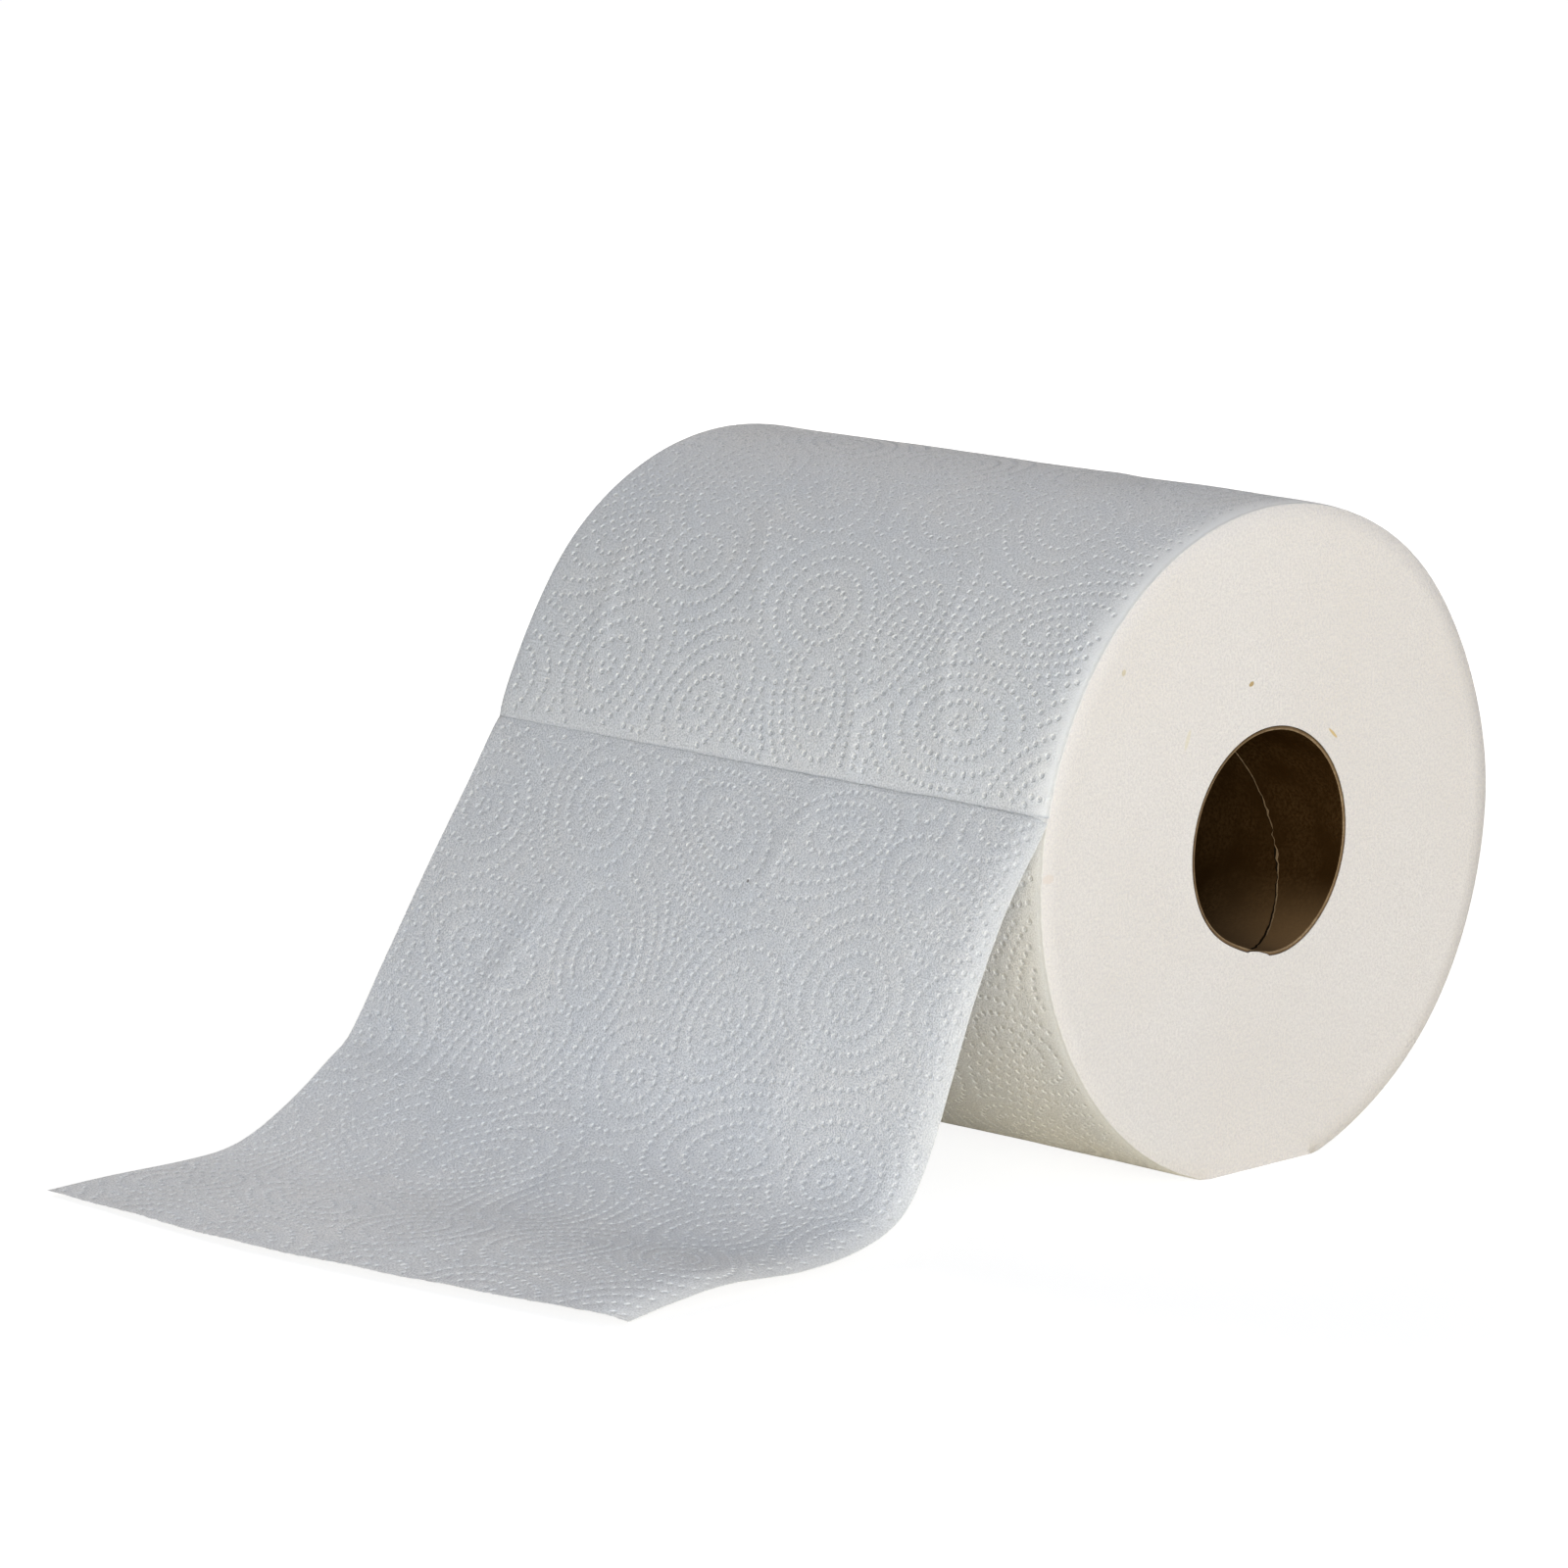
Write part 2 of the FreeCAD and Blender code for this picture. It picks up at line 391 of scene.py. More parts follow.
def smooth_line(knots):
    """A smooth line through the knots, each pair joined by a curve, with the distance along it."""
    points = [Vector((x, z)) * MM for x, z in knots]
    before, after = points[:1] + points[:-1], points[1:] + points[-1:]
    slopes = [(last - first).normalized() for first, last in zip(before, after)]
    line = [points[0]]
    for i, (here, there) in enumerate(zip(points, points[1:])):
        reach = (there - here).length / 3
        lead, trail = here + slopes[i] * reach, there - slopes[i + 1] * reach
        line += interpolate_bezier(here, lead, trail, there, EDGE_SAMPLES)[1:]
    return line, distances(line)


near_line, near_runs = smooth_line(NEAR_EDGE)
far_line, far_runs = smooth_line(FAR_EDGE)
print("edges are", round(near_runs[-1] / MM, 1), "and", round(far_runs[-1] / MM, 1), "mm long")

# %% The outer turn, with its rims and its torn line
RIM_WIDTH = 3.5 * MM
RIM_DROP = 0.4 * MM
SQUEEZE = 0.8 * MM
SQUEEZE_WIDTH = 14 * MM
SQUEEZE_REACH = 140 * MM
LIFT = 1.5 * MM
LIFT_REACH = 12 * MM
SAG = 0.8 * MM
SAG_MIDDLE = 32 * MM
SAG_REACH = 18 * MM
TEAR_WAVE = 0.35 * MM
TEAR_WAVE_REACH = 7 * MM
SLOW_DRIFT = 11 * MM
QUICK_DRIFT = 4 * MM
QUICK_SHARE = 0.6


def rim_drop(u, v):
    """How far the roll's rim is rounded off, and squeezed in by the saw near the torn line."""
    inward = max(0.0, abs(v) - (HALF_WIDTH - RIM_WIDTH)) / RIM_WIDTH
    rounded = RIM_DROP * (1 - math.sqrt(max(0.0, 1 - inward * inward)))
    squeezed = max(0.0, -v - (HALF_WIDTH - SQUEEZE_WIDTH)) / SQUEEZE_WIDTH
    return rounded + SQUEEZE * bell(u, SQUEEZE_REACH) * squeezed * squeezed


def tear_lift(u, v):
    """The sheet's pull lifts the web off the roll along the tear, most at the far side."""
    lift = LIFT * bell(u, LIFT_REACH) - SAG * bell(u - SAG_MIDDLE, SAG_REACH)
    return lift * (0.5 + 0.5 * v / HALF_WIDTH)


def tear_wave(u, v):
    """The torn line isn't quite straight: it drifts a little, and only close by."""
    # Each noise is read along a line of its own.
    slow = noise.noise(Vector((v / SLOW_DRIFT, 0.3, 8.1)))
    quick = noise.noise(Vector((v / QUICK_DRIFT, 5.0, 1.2)))
    return TEAR_WAVE * (slow + QUICK_SHARE * quick) * math.exp(-abs(u) / TEAR_WAVE_REACH)


def on_roll(u, v, height):
    """A point of the outer turn, standing that far proud of it but never under the table."""
    angle = turn_angle(u)
    outward = Vector((math.cos(angle), 0, math.sin(angle)))
    along = Vector((outward.z, 0, -outward.x))
    radius = turn_radius(u) - rim_drop(u, v) + tear_lift(u, v)
    place = outward * radius + along * tear_wave(u, v)
    place.y = v
    place.z = max(place.z, FLOOR_Z)
    place += outward * height
    place.z = max(place.z, FLOOR_Z)
    return place


print("the torn line is at", [round(c / MM, 1) for c in on_roll(0, 0, 0)])

# %% The loose sheet between its two edges
BOW_FROM = 0.7
BOW_DEPTH = 8.7 * MM
BOW_MIDDLE = 15 * MM
BOW_NEAR = 120 * MM
BOW_FAR = 64 * MM
CORNER_PULL = 3.2 * MM
CORNER_REACH = 8 * MM
LYING_Z = FLOOR_Z + SHEET_THICKNESS + CLOSE


def end_bow(v):
    """How far the torn end bows out between its corners, because the sheet is longer there."""
    bow = BOW_DEPTH * bell(v - BOW_MIDDLE, BOW_NEAR if v < BOW_MIDDLE else BOW_FAR)
    return bow - CORNER_PULL * bell(v + HALF_WIDTH, CORNER_REACH)


def sheet_path(u, v):
    """The smooth path of the loose sheet."""
    share = -u / SHEET_LENGTH
    near = at_run(near_line, near_runs, near_runs[-1] * share)
    far = at_run(far_line, far_runs, far_runs[-1] * share)
    flat = near.lerp(far, (v + HALF_WIDTH) / (2 * HALF_WIDTH))
    lying = max(0.0, (share - BOW_FROM) / (1 - BOW_FROM))
    return Vector((flat.x - end_bow(v) * lying * lying, v, max(flat.y, LYING_Z)))


# %% A point of the loose sheet
EDGE_CURL = 1.9 * MM
EDGE_CURL_WIDTH = 12 * MM
PARTING = 12 * MM
SLOPE_STEP = 0.5 * MM


def edge_curl(v):
    """The near edge falls back a little from the sheet, as a cut edge of tissue does."""
    flattened = 1 - rise(v + HALF_WIDTH, EDGE_CURL_WIDTH)
    towards_near = (HALF_WIDTH - v) / (2 * HALF_WIDTH)
    return EDGE_CURL * (1 - flattened ** 2) * towards_near


def on_sheet(u, v, height, below=0.0):
    """A point of the loose sheet, standing that far proud of it, or that far below its face."""
    place = sheet_path(u, v)
    along = (sheet_path(u + SLOPE_STEP, v) - sheet_path(u - SLOPE_STEP, v)).normalized()
    across = (sheet_path(u, v + SLOPE_STEP) - sheet_path(u, v - SLOPE_STEP)).normalized()
    outward = along.cross(across)
    parted = rise(-u, PARTING)
    shift = parted * edge_curl(v) - (1 - parted) * rim_drop(u, v) + tear_lift(u, v)
    place += outward * (height + shift) + along * tear_wave(u, v)
    place.z = max(place.z, LYING_Z)
    place -= outward * below
    place.z = max(place.z, FLOOR_Z)
    return place


print("the sheet's end is at", [round(c / MM, 1) for c in on_sheet(-SHEET_LENGTH, 0, 0)])

# %% [markdown]
# ## From points to a mesh
# A grid fine enough to hold dots a millimetre wide would need millions of faces, and a coarser
# one would chop them up. No bmesh operator sets vertices exactly where a pattern wants them, so
# here the flat points are joined by Blender's Delaunay triangulation: a ring or two of vertices
# round each dot and one at its bottom, a few in between, and rows along the borders. Only then
# is every point moved to its place in space. The flat `u` and `v` become the mesh's UV map.

# %% Vertices of the dots
DOT_RADIUS = 0.95 * MM
DOT_DEPTH = 0.13 * MM
DOT_DEPTH_ROLL = 0.26 * MM
RIM_FADE = 4.0 * MM
CORNERS = 6
LYING_FROM = 135 * MM
LYING_REACH = 30 * MM
LYING_GAIN = 0.8


def dot_spots(u, v, shells, deepest):
    """(u, v, height, pressed) of a dot's vertices: faint at a cut edge, deep where it lies."""
    fade = rise(HALF_WIDTH - abs(v), RIM_FADE)
    deep = fade * (1 + LYING_GAIN * rise(-u - LYING_FROM, LYING_REACH))
    spots = [(u, v, -deepest * deep, fade)]
    for shell, (radius, depth) in enumerate(shells):
        pressed = fade * (1 - radius / DOT_RADIUS)
        for corner in range(CORNERS):
            turn = 2 * math.pi * (corner + 0.5 * shell) / CORNERS
            place = u + radius * math.cos(turn), v + radius * math.sin(turn)
            spots.append((*place, -depth * deep, pressed))
    return spots


print("a dot is", DOT_RADIUS * 2 / MM, "mm wide and", DOT_DEPTH / MM, "mm deep")

# %% Vertices along the borders
BORDER_GAP = 3.0 * MM
TEAR_STEPS = 164
TEAR_STEP = 2 * HALF_WIDTH / TEAR_STEPS
TEAR_ROWS = (0.0, 0.4 * MM, 0.9 * MM)


def border_spots(u_low, u_high, edge_rows):
    """Rows of vertices along all four borders of a stretch of web."""
    spots = []
    columns = round((u_high - u_low) / BORDER_GAP)
    for inset in edge_rows:
        for number in range(columns + 1):
            u = u_low + (u_high - u_low) * number / columns
            spots += [(u, HALF_WIDTH - inset, 0.0, 0.0), (u, inset - HALF_WIDTH, 0.0, 0.0)]
    reach = HALF_WIDTH - edge_rows[-1] - TEAR_STEP / 2
    for inset in TEAR_ROWS:
        for number in range(TEAR_STEPS + 1):
            v = number * TEAR_STEP - HALF_WIDTH
            if abs(v) < reach:
                spots += [(u_low + inset, v, 0.0, 0.0), (u_high - inset, v, 0.0, 0.0)]
    return spots


# %% Vertices in between
FILL_GAP = 3.0 * MM
FILL_CLEAR = 2.2 * MM
TEAR_CLEAR = TEAR_ROWS[-1] + 1.05 * DOT_RADIUS
EDGE_CLEAR = 1.15 * DOT_RADIUS


def fill_spots(u_low, u_high, v_reach, taken):
    """Staggered vertices wherever the dots leave room."""
    spots = []
    for row in range(1, int((u_high - u_low) / FILL_GAP)):
        for column in range(int(2 * v_reach / FILL_GAP)):
            u = u_low + row * FILL_GAP
            v = (column + 0.5 + 0.5 * (row % 2)) * FILL_GAP - v_reach
            if abs(v) < v_reach and not taken.near(u, v, FILL_CLEAR):
                spots.append((u, v, 0.0, 0.0))
    return spots


def web_spots(u_low, u_high, shells, deepest, edge_rows):
    """Every vertex of a stretch of web."""
    first_u, last_u = u_low + TEAR_CLEAR, u_high - TEAR_CLEAR
    v_reach = HALF_WIDTH - edge_rows[-1] - EDGE_CLEAR
    taken = Spacing()
    spots = border_spots(u_low, u_high, edge_rows)
    for u, v in dots:
        if first_u < u < last_u and abs(v) < v_reach:
            taken.add(u, v)
            spots += dot_spots(u, v, shells, deepest)
    return spots + fill_spots(first_u, last_u, v_reach, taken)


# Radius and depth of each ring of vertices in a dot, and how far in each row along a border is.
SHELLS_ROLL = ((DOT_RADIUS, 0.0),)
SHELLS_SHEET = ((DOT_RADIUS, 0.0), (0.55 * MM, 0.11 * MM))
RIM_ROWS = (0.0, 0.12 * MM, 0.5 * MM, 1.2 * MM, 2.2 * MM)
CUT_ROWS = (0.0, 0.8 * MM)
roll_spots = web_spots(0.0, TURN_LENGTH, SHELLS_ROLL, DOT_DEPTH_ROLL, RIM_ROWS)
sheet_spots = web_spots(-SHEET_LENGTH, 0.0, SHELLS_SHEET, DOT_DEPTH, CUT_ROWS)
print(len(roll_spots), "vertices for the outer turn and", len(sheet_spots), "for the sheet")

# %% Triangles between the vertices
WEB_MAP = "web"
PRESSED = "pressed"
MERGE_BELOW = 1e-7


def web_mesh(name, spots, place, side):
    """Joins flat spots with triangles, then moves each to its place."""
    flat = [Vector((u, v)) for u, v, _, _ in spots]
    joined = delaunay_2d_cdt(flat, [], [], 0, MERGE_BELOW, False)
    assert len(joined[0]) == len(flat), f"{name}: {len(flat) - len(joined[0])} fell together"
    mesh = bpy.data.meshes.new(name)
    mesh.from_pydata([place(u, v, height) for u, v, height, _ in spots], [], joined[2])
    web_map = mesh.uv_layers.new(name=WEB_MAP)
    corners = [c for loop in mesh.loops for c in flat[loop.vertex_index]]
    web_map.uv.foreach_set("vector", corners)
    dented = mesh.attributes.new(PRESSED, "FLOAT", "POINT")
    dented.data.foreach_set("value", [side * pressed for _, _, _, pressed in spots])
    return mesh


# %% The torn line, and the outer turn in its place
TEAR_DEPTH = 0.14 * MM
TEAR_SPREAD = 0.55 * MM
CUT_DEPTHS = (0.6, 1.5)
HELD_RELIEF = 0.6
RELIEF_REACH = 30 * MM


def tear_groove(u, v):
    """A row of short cuts: each second vertex along the line is pressed deeper."""
    depth = TEAR_DEPTH * CUT_DEPTHS[round((v + HALF_WIDTH) / TEAR_STEP) % 2]
    return -depth * bell(u, TEAR_SPREAD)


def roll_place(u, v, height):
    """A vertex of the outer turn: wound tight, the strip's wrinkles are held down."""
    held = HELD_RELIEF * relief(u, v) * rise(TURN_LENGTH - u, RELIEF_REACH)
    return on_roll(u, v, height + held + tear_groove(u, v))


outer_turn = web_mesh("outer_turn", roll_spots, roll_place, 1)
print(len(outer_turn.polygons), "triangles round the roll")

# %% [markdown]
# ## Paper and board as materials
# Three finishes are needed: the pressed face of the tissue, the sawn ends, and brown board. All
# are matt and made of fibres, so the fibres are one shader node group, used in each with its own
# scale and strength. A second group draws one small mark, such as a speck of bark in the pulp:
# it measures how far a point is from a place, in a stretched and turned frame, and frays the
# outline with noise. Colour comes from paints mixed by those masks. Some of them paint light and
# shade: a highlight along the near rim and round each dot, shade in each dot, along the torn
# line, in the tube's bore and in its gaps, and light low in the bore's mouth.

# %% Helpers for node trees
def feed(tree, socket, value):
    """Links a node's output to an input, or sets the input to a plain value."""
    if isinstance(value, bpy.types.NodeSocket):
        tree.links.new(value, socket)
    else:
        socket.default_value = value


def add(tree, kind, inputs=None, **settings):
    """A new node with its own settings, and its inputs set or linked."""
    made = tree.nodes.new(kind)
    for name, value in settings.items():
        setattr(made, name, value)
    for key, value in (inputs or {}).items():
        feed(tree, made.inputs[key], value)
    return made


def placed(tree, group, inputs):
    """Puts a node group into a tree and gives back its outputs."""
    return add(tree, "ShaderNodeGroup", inputs, node_tree=group).outputs


def calculated(tree, operation, *values):
    """What a math node works out."""
    return add(tree, "ShaderNodeMath", dict(enumerate(values)), operation=operation).outputs[0]


def ramp(tree, value, start, end, low=0.0, high=1.0, smooth=False):
    """Goes from low to high while a value goes from start to end, and stays there beyond."""
    inputs = {0: value, 1: start, 2: end, 3: low, 4: high}
    kind = "SMOOTHSTEP" if smooth else "LINEAR"
    return add(tree, "ShaderNodeMapRange", inputs, interpolation_type=kind).outputs[0]


def mixed(tree, share, first, second):
    """One colour mixed into another by a mask."""
    inputs = {0: share, 6: first, 7: second}
    return add(tree, "ShaderNodeMix", inputs, data_type="RGBA").outputs[2]


def mottled(tree, place, scale, roughness=0.5):
    """Noise over a place, with as many blotches in a metre as its scale."""
    inputs = {"Vector": place, "Scale": scale, "Detail": 3.0, "Roughness": roughness}
    return add(tree, "ShaderNodeTexNoise", inputs).outputs["Fac"]


def object_place(tree):
    """The point's own place on the piece."""
    return add(tree, "ShaderNodeTexCoord").outputs["Object"]


def paint(red, green, blue):
    """An opaque colour."""
    return (red, green, blue, 1.0)


# %% New node trees
def emptied(owner):
    """The node tree of a new material or world, with nothing in it."""
    owner.use_nodes = True
    owner.node_tree.nodes.clear()
    return owner.node_tree


def group_tree(name, inputs, outputs):
    """An empty shader node group with named sockets, and the nodes at its two ends."""
    tree = bpy.data.node_groups.new(name, "ShaderNodeTree")
    for label, kind, value in inputs:
        socket = tree.interface.new_socket(label, in_out="INPUT", socket_type=kind)
        if value is not None:
            socket.default_value = value
    for label, kind in outputs:
        tree.interface.new_socket(label, in_out="OUTPUT", socket_type=kind)
    return tree, tree.nodes.new("NodeGroupInput").outputs, tree.nodes.new("NodeGroupOutput").inputs


# %% Fibres: a tone and a cloud for the colour, and a height for the bump
TONE_SPREAD = (0.39, 0.61)
CLOUD_SPREAD = (0.32, 0.68)


def make_fibres():
    """Fine noise for single fibres, and broad noise for the thick and thin of the pulp."""
    tree, given, wanted = group_tree(
        "fibres",
        [
            ("Vector", "NodeSocketVector", None),
            ("Fineness", "NodeSocketFloat", 2200.0),
            ("Cloudiness", "NodeSocketFloat", 60.0),
        ],
        [("Tone", "NodeSocketFloat"), ("Height", "NodeSocketFloat"), ("Cloud", "NodeSocketFloat")],
    )
    fine = mottled(tree, given["Vector"], given["Fineness"], 0.7)
    cloud = mottled(tree, given["Vector"], given["Cloudiness"], 0.55)
    feed(tree, wanted["Tone"], ramp(tree, fine, *TONE_SPREAD))
    feed(tree, wanted["Height"], fine)
    feed(tree, wanted["Cloud"], ramp(tree, cloud, *CLOUD_SPREAD))
    return tree


FIBRES = make_fibres()
sockets = FIBRES.interface.items_tree
print("fibres gives", [socket.name for socket in sockets if socket.in_out == "OUTPUT"])

# %% A mark: a small stretched spot with a frayed outline
OUTLINE = (1.3, 0.9)
OUTLINE_BLOTCHES = 1.7


def make_mark():
    """Its mask is 1 inside the spot, which reaches about as far as it is told on each axis."""
    tree, given, wanted = group_tree(
        "mark",
        [
            ("Vector", "NodeSocketVector", None),
            ("Centre", "NodeSocketVector", (0, 0, 0)),
            ("Reach", "NodeSocketVector", (MM, MM, MM)),
            ("Turn", "NodeSocketVector", (0, 0, 0)),
            ("Fray", "NodeSocketFloat", 0.4),
        ],
        [("Mask", "NodeSocketFloat")],
    )
    moved = add(tree, "ShaderNodeVectorMath", {0: given["Vector"], 1: given["Centre"]},
                operation="SUBTRACT").outputs[0]
    turned = add(tree, "ShaderNodeVectorRotate", {"Vector": moved, "Rotation": given["Turn"]},
                 rotation_type="EULER_XYZ").outputs[0]
    stretched = add(tree, "ShaderNodeVectorMath", {0: turned, 1: given["Reach"]},
                    operation="DIVIDE").outputs[0]
    away = add(tree, "ShaderNodeVectorMath", {0: stretched}, operation="LENGTH").outputs["Value"]
    rough = mottled(tree, stretched, OUTLINE_BLOTCHES)
    frayed_away = calculated(tree, "MULTIPLY_ADD", rough, given["Fray"], away)
    feed(tree, wanted["Mask"], ramp(tree, frayed_away, *OUTLINE, smooth=True))
    return tree


MARK = make_mark()
sockets = MARK.interface.items_tree
print("mark takes", [socket.name for socket in sockets if socket.in_out == "INPUT"])

# %% A matt shader to start each finish
def matt_shader(name, sheen, gloss):
    """A new material with a plain rough shader, and its tree."""
    material = bpy.data.materials.new(name)
    tree = emptied(material)
    shader = add(tree, "ShaderNodeBsdfPrincipled", {
        "Roughness": 0.95, "Specular IOR Level": gloss,
        "Sheen Weight": sheen, "Sheen Roughness": 0.5,
    })
    add(tree, "ShaderNodeOutputMaterial", {"Surface": shader.outputs[0]})
    return material, tree, shader


def bumped(tree, shader, height, strength, distance):
    """Feeds a height to the shader's normal."""
    inputs = {"Height": height, "Strength": strength, "Distance": distance}
    feed(tree, shader.inputs["Normal"], add(tree, "ShaderNodeBump", inputs).outputs[0])


# %% Paints on the tissue's face
# A pair says where a paint starts and where it is full: how far from a line it is, or how far
# into a dot, from 0 at the dot's outline to 1 at its bottom.
RIM_HIGHLIGHT_REACH = 10 * MM
BEHIND_FROM = 290 * MM
FRONT_TO = 232 * MM
RIM_HIGHLIGHT_BEHIND = 0.6
BRINK = (1.2 * MM, 0.3 * MM)
DOT_SHADE_PAINTED = (0.35, 0.75)
DOT_HIGHLIGHT_OUT = (0.02, 0.12)
DOT_HIGHLIGHT_IN = (0.34, 0.44)
TORN = (0.8 * MM, 0.1 * MM)
TEAR_SHADOW_SHARE = 0.5


def rim_highlight_painted(tree, colour, strip, rim_highlight_share, brink_share):
    """Painted highlight whitens the web towards its near edge, less behind the roll where it is in
    shade, and the brink is greyer.
    """
    # painted highlight along the near rim, weaker on the part of the roll that lies in shade
    rim_highlight = ramp(tree, strip["Y"], RIM_HIGHLIGHT_REACH - HALF_WIDTH, -HALF_WIDTH, 0.0, rim_highlight_share, smooth=True)
    lit_in_front = ramp(tree, strip["X"], BEHIND_FROM, FRONT_TO, RIM_HIGHLIGHT_BEHIND, 1.0)
    white = mixed(tree, calculated(tree, "MULTIPLY", rim_highlight, lit_in_front), colour, paint(1.0, 1.0, 1.0))
    start, end = (inset - HALF_WIDTH for inset in BRINK)
    brink = ramp(tree, strip["Y"], start, end, 0.0, brink_share)
    return mixed(tree, brink, white, paint(0.76, 0.75, 0.74))


def dot_light_painted(tree, colour, pressed, dot_light_share):
    """Painted shade greys a dot's bottom, and a painted highlight whitens the ring round it."""
    # painted shade in each dot's hollow, and a painted highlight on the ring standing in for its
    # lit wall
    bottom = ramp(tree, pressed, *DOT_SHADE_PAINTED, 0.0, dot_light_share, smooth=True)
    hollow_shaded = mixed(tree, bottom, colour, paint(0.60, 0.61, 0.63))
    outer = ramp(tree, pressed, *DOT_HIGHLIGHT_OUT, 0.0, dot_light_share)
    inner = ramp(tree, pressed, *DOT_HIGHLIGHT_IN, 1.0, 0.0)
    return mixed(tree, calculated(tree, "MULTIPLY", outer, inner), hollow_shaded, paint(1.0, 1.0, 1.0))


def tear_shadow_painted(tree, colour, strip):
    """A thin painted shadow along the line where the sheet and the roll part."""
    # painted shadow of the cut along the torn line
    away = calculated(tree, "ABSOLUTE", strip["X"])
    return mixed(tree, ramp(tree, away, *TORN, 0.0, TEAR_SHADOW_SHARE), colour, paint(0.55, 0.57, 0.60))


# %% The pressed face of the tissue
FIBRE_HEIGHT = 0.46 * MM
FIBRE_STRETCH = (0.8, 1.0, 1.0)
THROUGH_REACH = 0.3 * MM
WALL_HALF = 0.36


def tissue_face(name, see_through, wall_height, dark, rim_highlight_share, brink_share, dot_light_share):
    """White tissue, drawn in the strip's own map so that the fibres follow the web."""
    material, tree, shader = matt_shader(name, 0.15, 0.15)
    shader.inputs["Subsurface Weight"].default_value = see_through
    shader.inputs["Subsurface Radius"].default_value = (1.0, 1.0, 1.0)
    shader.inputs["Subsurface Scale"].default_value = THROUGH_REACH
    web = add(tree, "ShaderNodeUVMap", uv_map=WEB_MAP).outputs[0]
    strip = add(tree, "ShaderNodeSeparateXYZ", {0: web}).outputs
    pressed = add(tree, "ShaderNodeAttribute", attribute_name=PRESSED).outputs["Fac"]
    grain = add(tree, "ShaderNodeMapping", {"Vector": web, "Scale": FIBRE_STRETCH}).outputs[0]
    fibres = placed(tree, FIBRES, {"Vector": grain, "Fineness": 2250.0, "Cloudiness": 40.0})
    pale = mixed(tree, fibres["Cloud"], paint(0.94, 0.96, 1.0), paint(1.0, 0.99, 0.99))
    fibrous = mixed(tree, fibres["Tone"], dark, pale)
    colour = rim_highlight_painted(tree, fibrous, strip, rim_highlight_share, brink_share)
    speck = placed(tree, MARK, {"Vector": web, "Centre": (-33 * MM, -13 * MM, 0),
                                "Reach": (0.5 * MM, 0.35 * MM, MM), "Fray": 0.3})
    colour = mixed(tree, speck["Mask"], colour, paint(0.10, 0.09, 0.09))
    colour = tear_shadow_painted(tree, dot_light_painted(tree, colour, pressed, dot_light_share), strip)
    feed(tree, shader.inputs["Base Color"], colour)
    wall = ramp(tree, pressed, -WALL_HALF, WALL_HALF, 1.0, -1.0)
    fibre_share = FIBRE_HEIGHT / wall_height
    height = calculated(tree, "MULTIPLY_ADD", fibres["Height"], fibre_share, wall)
    bumped(tree, shader, height, 1.0, wall_height)
    return material


face_material = tissue_face("tissue_face", see_through=0.0, wall_height=0.34 * MM,
                            dark=paint(0.60, 0.61, 0.63), rim_highlight_share=0.95, brink_share=1.0,
                            dot_light_share=0.8)
sheet_material = tissue_face("tissue_sheet", see_through=0.7, wall_height=0.21 * MM,
                             dark=paint(0.56, 0.57, 0.60), rim_highlight_share=0.4, brink_share=0.0,
                             dot_light_share=0.27)
print("made", face_material.name, "and", sheet_material.name)

# %% The sawn ends
END_MARKS = (  # x, z, half length and half width in mm, turn in degrees, colour: on the near end
    (-8.8, 43.3, 1.1, 0.7, 20, paint(0.45, 0.33, 0.16)),
    (25.0, 26.2, 2.4, 0.45, -40, paint(0.62, 0.47, 0.24)),
    (-86.9, 2.5, 2.4, 1.3, 0, paint(0.69, 0.63, 0.60)),
    (-59.3, 52.2, 1.0, 0.8, 60, paint(0.60, 0.54, 0.42)),
    (-33.8, 31.7, 3.0, 0.8, 70, paint(0.69, 0.65, 0.57)),
)
MARK_DEPTH = 10 * MM


def tissue_ends():
    """Sawn layers of tissue: furry, a little warmer than the face, with blotches of scorch."""
    material, tree, shader = matt_shader("tissue_ends", 0.1, 0.15)
    place = object_place(tree)
    fibres = placed(tree, FIBRES, {"Vector": place, "Fineness": 1300.0, "Cloudiness": 14.0})
    pale = mixed(tree, fibres["Cloud"], paint(0.76, 0.737, 0.73), paint(0.74, 0.702, 0.672))
    colour = mixed(tree, fibres["Tone"], paint(0.66, 0.635, 0.64), pale)
    for x, z, half_length, half_width, turn, tint in END_MARKS:
        mark = placed(tree, MARK, {
            "Vector": place, "Centre": (x * MM, -HALF_WIDTH, z * MM),
            "Reach": (half_length * MM, MARK_DEPTH, half_width * MM),
            "Turn": (0, math.radians(turn), 0),
        })
        colour = mixed(tree, mark["Mask"], colour, tint)
    feed(tree, shader.inputs["Base Color"], colour)
    bumped(tree, shader, fibres["Height"], 1.0, 0.5 * MM)
    return material


ends_material = tissue_ends()
print("made", ends_material.name, "with", len(END_MARKS), "marks")

# %% Brown board
def board(name, dark, light):
    """Unbleached board made of short fibres. Its colour comes with it, to be painted over."""
    material, tree, shader = matt_shader(name, 0.0, 0.0)
    place = object_place(tree)
    fibres = placed(tree, FIBRES, {"Vector": place, "Fineness": 1100.0, "Cloudiness": 90.0})
    colour = mixed(tree, fibres["Cloud"], mixed(tree, fibres["Tone"], dark, light), dark)
    feed(tree, shader.inputs["Base Color"], colour)
    bumped(tree, shader, fibres["Height"], 0.5, 0.2 * MM)
    return material, tree, shader, colour


# painted shade: a near-black board for the seam's gap, which lies in shade
gap_shade_material, *_ = board("board_gap_shade", paint(0.010, 0.006, 0.003), paint(0.015, 0.010, 0.005))
print("made", gap_shade_material.name)

